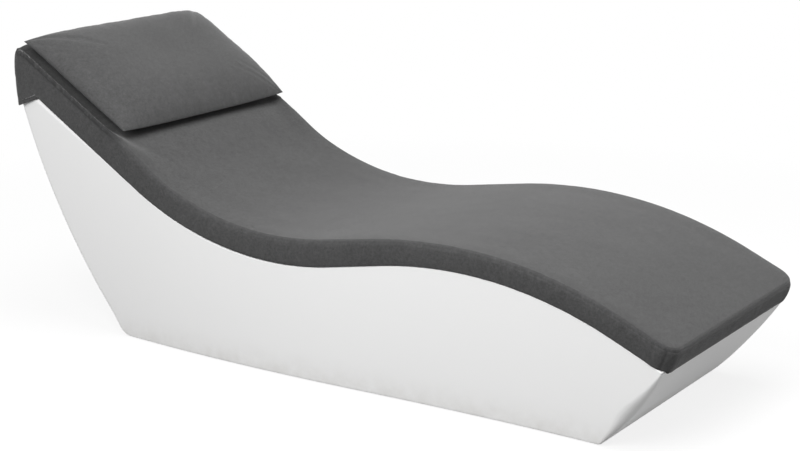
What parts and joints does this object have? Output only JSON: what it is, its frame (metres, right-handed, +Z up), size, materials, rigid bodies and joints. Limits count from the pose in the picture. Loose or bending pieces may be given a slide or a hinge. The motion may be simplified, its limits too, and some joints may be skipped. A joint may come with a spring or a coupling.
{
  "type": "spa relaxation lounger",
  "caption": "Fixed spa relaxation lounger: a hollow moulded base with an S-shaped deck, a thin mattress held by a head pocket, and a loose head pillow.",
  "frame": {"origin": "on the floor, under the middle of the whole lounger's box", "axes": "+X from the head to the foot, +Y to the lying person's left, +Z up"},
  "size_m": [1.8988, 0.705, 0.7843],
  "materials": {
    "shell_plastic": "satin moulded polyethylene",
    "brass_insert": "machined",
    "pad_rubber": "matt",
    "screw_steel": "zinc plated",
    "bush_plastic": "satin",
    "plug_plastic": "satin",
    "seal_rubber": "matt",
    "hook_tape": "nylon hook tape",
    "loop_tape": "brushed nylon loop tape",
    "foam": "open-cell foam",
    "cover_cloth": "fine outdoor weave",
    "zip_tape": "woven",
    "zip_coil": "nylon coil",
    "zip_metal": "dark lacquer",
    "fill_fibre": "polyester fibre"
  },
  "bodies": {
    "base": {"base_shell": "shell_plastic", "pad_inserts": "brass_insert", "glide_pads": "pad_rubber", "pad_screws": "screw_steel", "vent_bush": "bush_plastic", "deck_hook_tapes": "hook_tape"},
    "plug": {"vent_plug": "plug_plastic", "vent_seal": "seal_rubber"},
    "mattress": {"mattress_foam": "foam", "mattress_top_panel": "cover_cloth", "mattress_side_band": "cover_cloth", "mattress_bottom_panel": "cover_cloth", "mattress_loop_tapes": "loop_tape", "pillow_landing_tapes": "loop_tape", "head_pocket": "cover_cloth", "mattress_zip_tape": "zip_tape", "mattress_zip_coil": "zip_coil"},
    "mattress_slider": {"mattress_zip_slider": "zip_metal"},
    "mattress_pull": {"mattress_zip_pull": "zip_metal"},
    "pillow": {"pillow_fill": "fill_fibre", "pillow_top_panel": "cover_cloth", "pillow_bottom_panel": "cover_cloth", "pillow_hook_tapes": "hook_tape", "pillow_zip_tape": "zip_tape", "pillow_zip_coil": "zip_coil"},
    "pillow_slider": {"pillow_zip_slider": "zip_metal"},
    "pillow_pull": {"pillow_zip_pull": "zip_metal"}
  },
  "joints": [
    {"name": "drain_plug_turn", "type": "hinge", "parent": "base", "child": "plug", "pos_m": [-0.52764, 0, 0], "axis": [0, 0, -1], "range_deg": [0, 720]},
    {"name": "mattress_lift", "type": "slide", "parent": "base", "child": "mattress", "axis": [-0.829, 0, 0.5592], "range_m": [0, 0.12]},
    {"name": "pillow_lift", "type": "slide", "parent": "mattress", "child": "pillow", "axis": [0.5299, 0, 0.848], "range_m": [0, 0.15]},
    {"name": "mattress_zip_slide", "type": "slide", "parent": "mattress", "child": "mattress_slider", "axis": [0, -1, 0], "range_m": [0, 0.448]},
    {"name": "mattress_zip_pull_swing", "type": "hinge", "parent": "mattress_slider", "child": "mattress_pull", "pos_m": [-0.95092, 0.224, 0.71439], "axis": [0, 0, 1], "range_deg": [0, 150]},
    {"name": "pillow_zip_slide", "type": "slide", "parent": "pillow", "child": "pillow_slider", "axis": [0, -1, 0], "range_m": [0, 0.278]},
    {"name": "pillow_zip_pull_swing", "type": "hinge", "parent": "pillow_slider", "child": "pillow_pull", "pos_m": [-0.90863, 0.139, 0.74883], "axis": [-0.3256, 0, 0.9455], "range_deg": [0, 25]}
  ]
}
